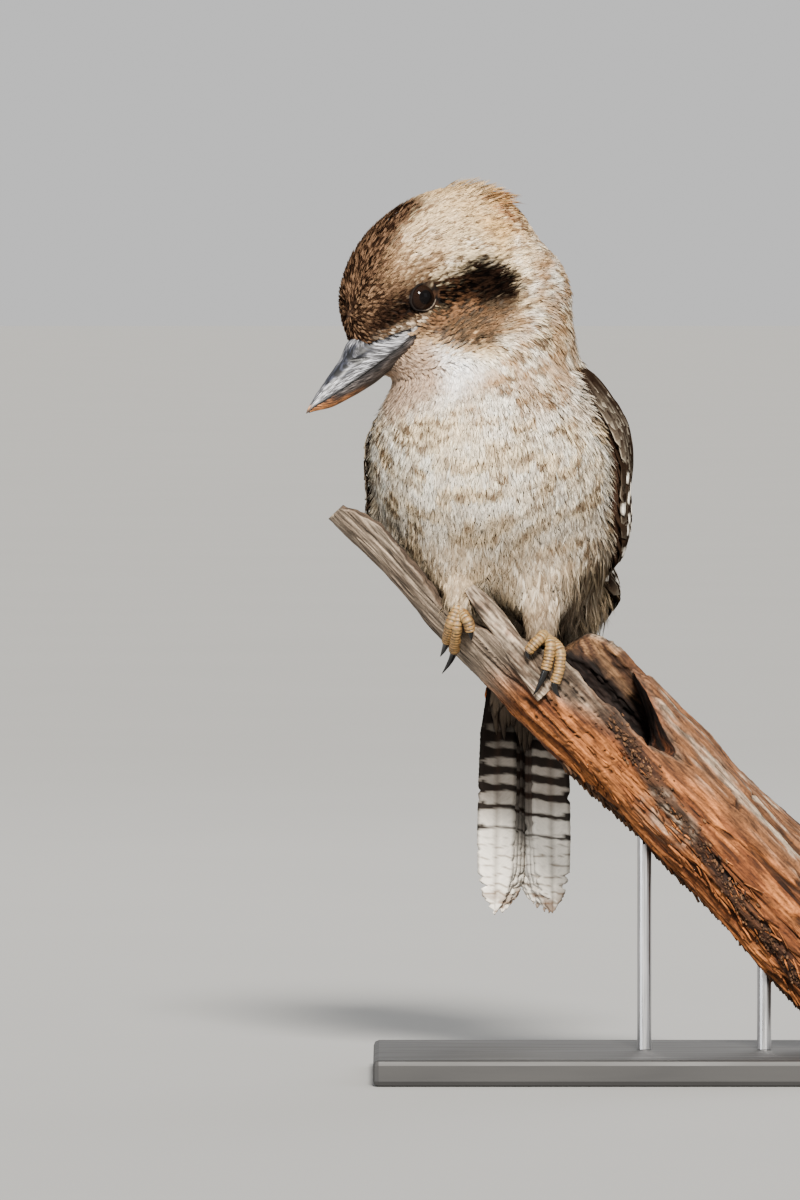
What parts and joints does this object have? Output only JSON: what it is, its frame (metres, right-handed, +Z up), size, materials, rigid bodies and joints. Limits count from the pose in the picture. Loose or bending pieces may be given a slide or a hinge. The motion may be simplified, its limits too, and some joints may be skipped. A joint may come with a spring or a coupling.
{
  "type": "perched bird model",
  "caption": "Life-size still model of a laughing kookaburra, head turned and bowed, gripping a broken hollow limb that two rods hold over a flat base.",
  "frame": {"origin": "centre of the base's flat underside, on the floor", "axes": "+Z up, the bird's breast faces -Y and its tail hangs towards +Y, +X is on the right as the picture shows it, along the falling limb"},
  "size_m": [0.2727, 0.1828, 0.4011],
  "materials": {
    "cream_plumage": "matte",
    "brown_plumage": "matte",
    "bill_horn": "satin",
    "claw_horn": "gloss",
    "foot_skin": "satin",
    "eye": "gloss",
    "limb_wood": "matte",
    "stand_board": "satin",
    "stand_steel": "satin"
  },
  "bodies": {
    "root": {"bill_lower": "bill_horn", "bill_upper": "bill_horn", "claw_left_1": "claw_horn", "claw_left_2": "claw_horn", "claw_left_3": "claw_horn", "claw_left_4": "claw_horn", "claw_right_1": "claw_horn", "claw_right_2": "claw_horn", "claw_right_3": "claw_horn", "claw_right_4": "claw_horn", "eye_left": "eye", "eye_right": "eye", "foot_left": "foot_skin", "foot_right": "foot_skin", "head": "cream_plumage", "leg_left": "foot_skin", "leg_right": "foot_skin", "neck": "cream_plumage", "perch": "limb_wood", "stand_base": "stand_board", "stand_rod_1": "stand_steel", "stand_rod_2": "stand_steel", "tail": "brown_plumage", "torso": "cream_plumage", "wing_left": "brown_plumage", "wing_right": "brown_plumage"}
  },
  "joints": []
}
